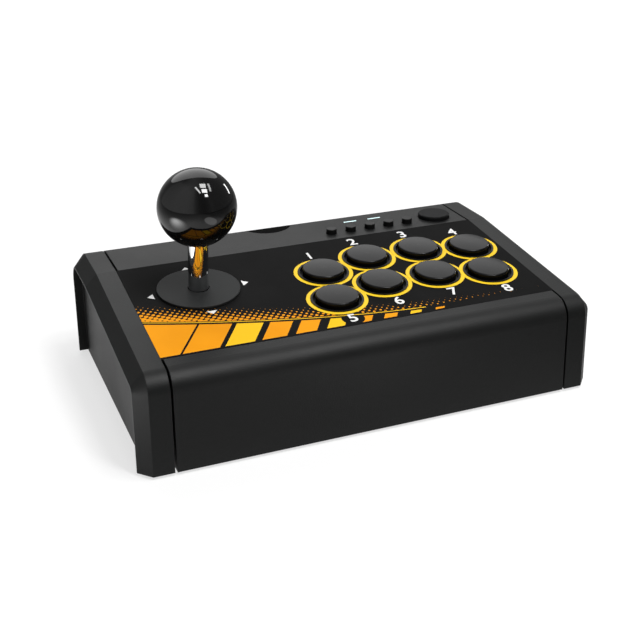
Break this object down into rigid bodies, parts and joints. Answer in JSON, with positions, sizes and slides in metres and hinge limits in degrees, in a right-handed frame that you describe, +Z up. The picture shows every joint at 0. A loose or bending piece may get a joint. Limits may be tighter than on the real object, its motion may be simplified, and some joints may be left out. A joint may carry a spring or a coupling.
{
  "type": "arcade fight stick",
  "caption": "Table-top arcade controller: low sloped case with bevelled end caps, a gimballed ball-top stick, round push buttons and a rear strip of small keys.",
  "frame": {"origin": "under the middle of the case, on the plane of the rubber feet", "axes": "+X to the player's right, +Y away from the player, +Z up"},
  "size_m": [0.2136, 0.1374, 0.1091],
  "materials": {
    "shell_plastic": "fine matt grain",
    "cap_plastic": "fine matt grain",
    "panel_print": "printed film, satin",
    "base_plastic": "matt",
    "foot_rubber": "matt",
    "steel": "zinc plated",
    "housing_plastic": "satin",
    "silicone": "translucent matt",
    "board_green": "solder mask",
    "key_plastic": "satin",
    "switch_black": "matt",
    "light_pipe": "frosted clear",
    "led": "gloss",
    "insert_black": "matt",
    "ball_gloss": "high gloss",
    "shaft_chrome": "mirror",
    "washer_plastic": "matt",
    "plate_steel": "zinc plated",
    "box_plastic": "matt",
    "nylon": "natural nylon",
    "spring_steel": "bright",
    "plunger_plastic": "satin"
  },
  "bodies": {
    "root": {"top_shell": "shell_plastic", "left_end_cap": "cap_plastic", "right_end_cap": "cap_plastic", "panel_overlay": "panel_print", "base_plate": "base_plastic", "rubber_feet": "foot_rubber", "case_screws": "steel", "cap_screws": "steel", "button_housings": "housing_plastic", "dome_mat": "silicone", "button_board": "board_green", "button_board_screws": "steel", "menu_switches": "switch_black", "menu_board": "board_green", "menu_board_screws": "steel", "light_bars": "light_pipe", "light_leds": "led", "main_board": "board_green", "main_board_screws": "steel", "cable_insert": "insert_black", "mount_plate": "plate_steel", "mount_screws": "steel", "stick_box": "box_plastic", "box_screws": "steel", "outer_pivot_pins": "steel", "centring_spring": "spring_steel", "micro_switches": "switch_black", "stick_board": "board_green", "restrictor_gate": "box_plastic", "gate_screws": "steel"},
    "button_1": {"plunger_1": "plunger_plastic"},
    "button_2": {"plunger_2": "plunger_plastic"},
    "button_3": {"plunger_3": "plunger_plastic"},
    "button_4": {"plunger_4": "plunger_plastic"},
    "button_5": {"plunger_5": "plunger_plastic"},
    "button_6": {"plunger_6": "plunger_plastic"},
    "button_7": {"plunger_7": "plunger_plastic"},
    "button_8": {"plunger_8": "plunger_plastic"},
    "menu_1": {"menu_button_1": "key_plastic"},
    "menu_2": {"menu_button_2": "key_plastic"},
    "menu_3": {"menu_button_3": "key_plastic"},
    "menu_4": {"menu_button_4": "key_plastic"},
    "menu_5": {"menu_button_5": "key_plastic"},
    "mode": {"mode_button": "key_plastic"},
    "gimbal": {"gimbal_ring": "nylon", "inner_pivot_pins": "steel"},
    "stick": {"pivot_hub": "nylon", "stick_shaft": "shaft_chrome", "ball_top": "ball_gloss", "actuator": "nylon", "shaft_clip": "spring_steel"},
    "disc": {"lower_dust_disc": "washer_plastic"},
    "washer": {"dust_washer": "washer_plastic"}
  },
  "joints": [
    {"name": "push_button_1", "type": "slide", "parent": "root", "child": "button_1", "axis": [0, 0.1022, -0.9948], "range_m": [0, 0.0025], "stiffness_N_per_m": 150, "springref_m": -0.001, "deforming": ["dome_mat"]},
    {"name": "push_button_2", "type": "slide", "parent": "root", "child": "button_2", "axis": [0, 0.1022, -0.9948], "range_m": [0, 0.0025], "stiffness_N_per_m": 150, "springref_m": -0.001, "deforming": ["dome_mat"]},
    {"name": "push_button_3", "type": "slide", "parent": "root", "child": "button_3", "axis": [0, 0.1022, -0.9948], "range_m": [0, 0.0025], "stiffness_N_per_m": 150, "springref_m": -0.001, "deforming": ["dome_mat"]},
    {"name": "push_button_4", "type": "slide", "parent": "root", "child": "button_4", "axis": [0, 0.1022, -0.9948], "range_m": [0, 0.0025], "stiffness_N_per_m": 150, "springref_m": -0.001, "deforming": ["dome_mat"]},
    {"name": "push_button_5", "type": "slide", "parent": "root", "child": "button_5", "axis": [0, 0.1022, -0.9948], "range_m": [0, 0.0025], "stiffness_N_per_m": 150, "springref_m": -0.001, "deforming": ["dome_mat"]},
    {"name": "push_button_6", "type": "slide", "parent": "root", "child": "button_6", "axis": [0, 0.1022, -0.9948], "range_m": [0, 0.0025], "stiffness_N_per_m": 150, "springref_m": -0.001, "deforming": ["dome_mat"]},
    {"name": "push_button_7", "type": "slide", "parent": "root", "child": "button_7", "axis": [0, 0.1022, -0.9948], "range_m": [0, 0.0025], "stiffness_N_per_m": 150, "springref_m": -0.001, "deforming": ["dome_mat"]},
    {"name": "push_button_8", "type": "slide", "parent": "root", "child": "button_8", "axis": [0, 0.1022, -0.9948], "range_m": [0, 0.0025], "stiffness_N_per_m": 150, "springref_m": -0.001, "deforming": ["dome_mat"]},
    {"name": "push_menu_1", "type": "slide", "parent": "root", "child": "menu_1", "axis": [0, 0, -1], "range_m": [0, 0.0004], "stiffness_N_per_m": 400, "springref_m": -0.0003},
    {"name": "push_menu_2", "type": "slide", "parent": "root", "child": "menu_2", "axis": [0, 0, -1], "range_m": [0, 0.0004], "stiffness_N_per_m": 400, "springref_m": -0.0003},
    {"name": "push_menu_3", "type": "slide", "parent": "root", "child": "menu_3", "axis": [0, 0, -1], "range_m": [0, 0.0004], "stiffness_N_per_m": 400, "springref_m": -0.0003},
    {"name": "push_menu_4", "type": "slide", "parent": "root", "child": "menu_4", "axis": [0, 0, -1], "range_m": [0, 0.0004], "stiffness_N_per_m": 400, "springref_m": -0.0003},
    {"name": "push_menu_5", "type": "slide", "parent": "root", "child": "menu_5", "axis": [0, 0, -1], "range_m": [0, 0.0004], "stiffness_N_per_m": 400, "springref_m": -0.0003},
    {"name": "push_mode", "type": "slide", "parent": "root", "child": "mode", "axis": [0, 0, -1], "range_m": [0, 0.0006], "stiffness_N_per_m": 400, "springref_m": -0.0003},
    {"name": "tilt_fore_aft", "type": "hinge", "parent": "root", "child": "gimbal", "pos_m": [-0.0617, -0.00116, 0.03768], "axis": [1, 0, 0], "range_deg": [-8, 8], "stiffness_Nm_per_rad": 0.6, "deforming": ["centring_spring"]},
    {"name": "tilt_side", "type": "hinge", "parent": "gimbal", "child": "stick", "pos_m": [-0.0617, -0.00116, 0.03768], "axis": [0, 0.9948, 0.1022], "range_deg": [-8, 8], "stiffness_Nm_per_rad": 0.6, "deforming": ["centring_spring"]},
    {"name": "disc_slide", "type": "slide", "parent": "root", "child": "disc", "axis": [0, 0.9948, 0.1022], "range_m": [-0.00206, 0.00206]},
    {"name": "washer_slide", "type": "slide", "parent": "disc", "child": "washer", "axis": [1, 0, 0], "range_m": [-0.00206, 0.00206]}
  ],
  "couplings": [
    {"joint": "disc_slide", "follows": "tilt_fore_aft", "m_per_rad": -0.0143},
    {"joint": "washer_slide", "follows": "tilt_side", "m_per_rad": 0.0143}
  ]
}
